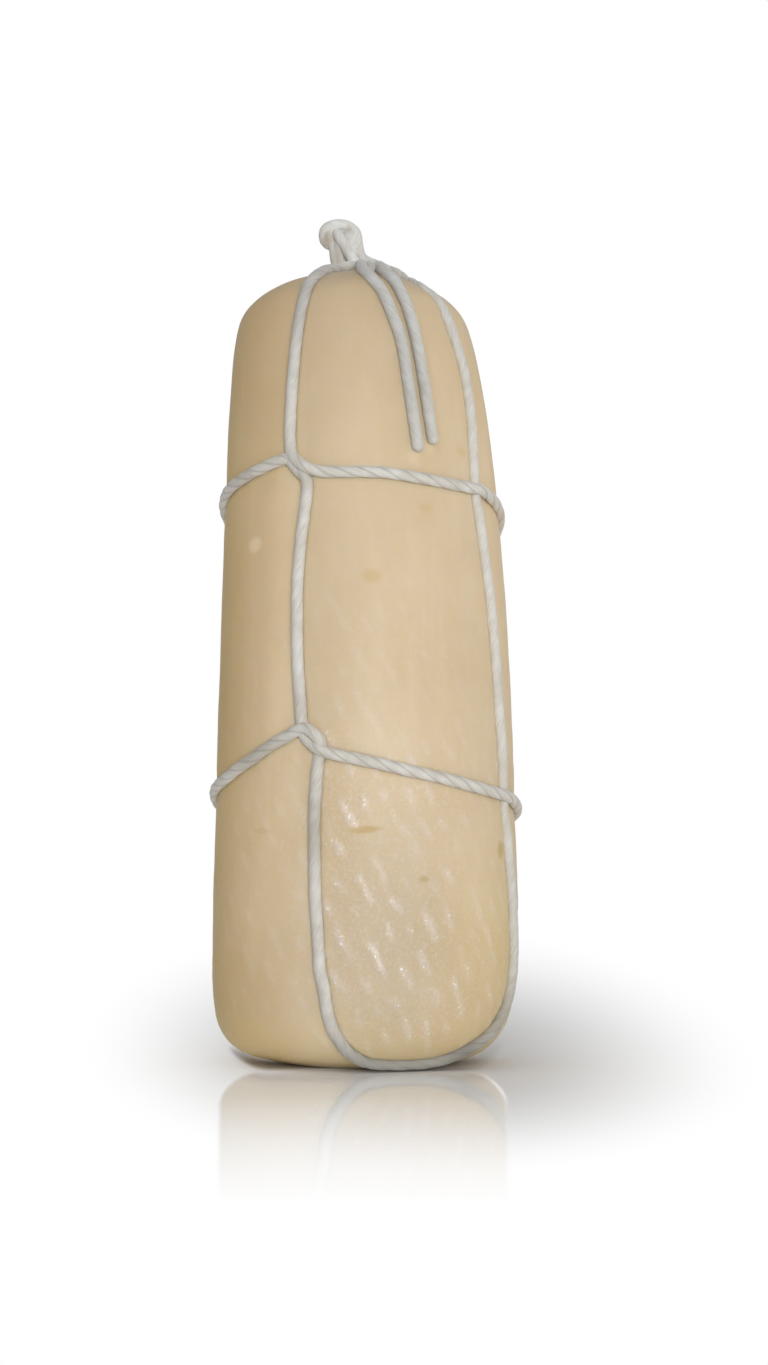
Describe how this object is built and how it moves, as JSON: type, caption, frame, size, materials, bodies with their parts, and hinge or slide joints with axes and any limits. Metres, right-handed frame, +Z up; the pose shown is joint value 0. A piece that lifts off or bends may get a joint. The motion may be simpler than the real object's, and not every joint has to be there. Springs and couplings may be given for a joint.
{
  "type": "scamorza cheese",
  "caption": "Tall rounded stretched-curd cheese that tapers upwards, tied with white string in drops and girths, with a knot on its crown and loose string ends.",
  "frame": {"origin": "on the ground under the middle of the cheese, which is the bottom centre of the bounding box", "axes": "+Z up along the cheese to its knot, the shown front faces -Y, and +X is to the right of the shown front"},
  "size_m": [0.1029, 0.1031, 0.2863],
  "materials": {
    "cheese": "pale ivory-tan cheese skin, satin, slightly moist, with shallow rows of dimples",
    "string": "off-white three-ply twisted cotton, matt and slightly fuzzy"
  },
  "bodies": {
    "root": {"cheese": "cheese", "string": "string", "tail_left": "string", "tail_right": "string"}
  },
  "joints": []
}
